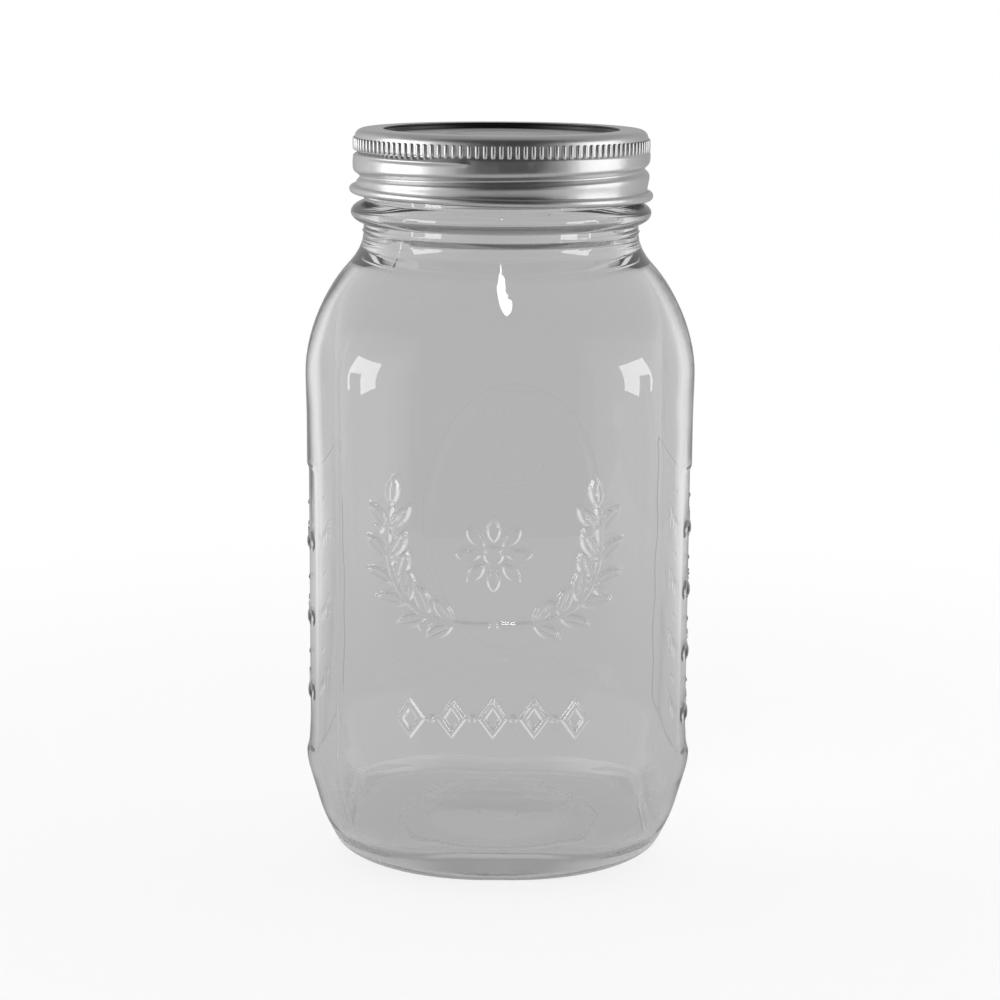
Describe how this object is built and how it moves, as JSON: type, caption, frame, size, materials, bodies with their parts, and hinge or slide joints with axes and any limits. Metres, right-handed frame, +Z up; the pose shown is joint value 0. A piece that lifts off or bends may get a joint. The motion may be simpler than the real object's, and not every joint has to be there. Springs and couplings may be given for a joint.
{
  "type": "glass storage jar",
  "caption": "Empty clear glass storage jar with a rounded-square body, round neck, flat metal lid disc and a knurled open-centred screw band.",
  "frame": {"origin": "centre of the bearing ring on the surface that the jar stands on", "axes": "+Z up along the jar's axis, -Y towards the decorated front, X across the two marked sides"},
  "size_m": [0.094, 0.094, 0.178],
  "materials": {
    "clear_glass": "clear moulded glass with raised ornament and graduation marks",
    "lid_metal": "smooth satin tinplate",
    "band_metal": "satin tinplate with rolled thread and knurled rim",
    "seal_compound": "matt moulded sealing compound"
  },
  "bodies": {
    "root": {"glass_jar": "clear_glass", "sealing_ring": "seal_compound", "lid_disc": "lid_metal", "screw_band": "band_metal"}
  },
  "joints": []
}
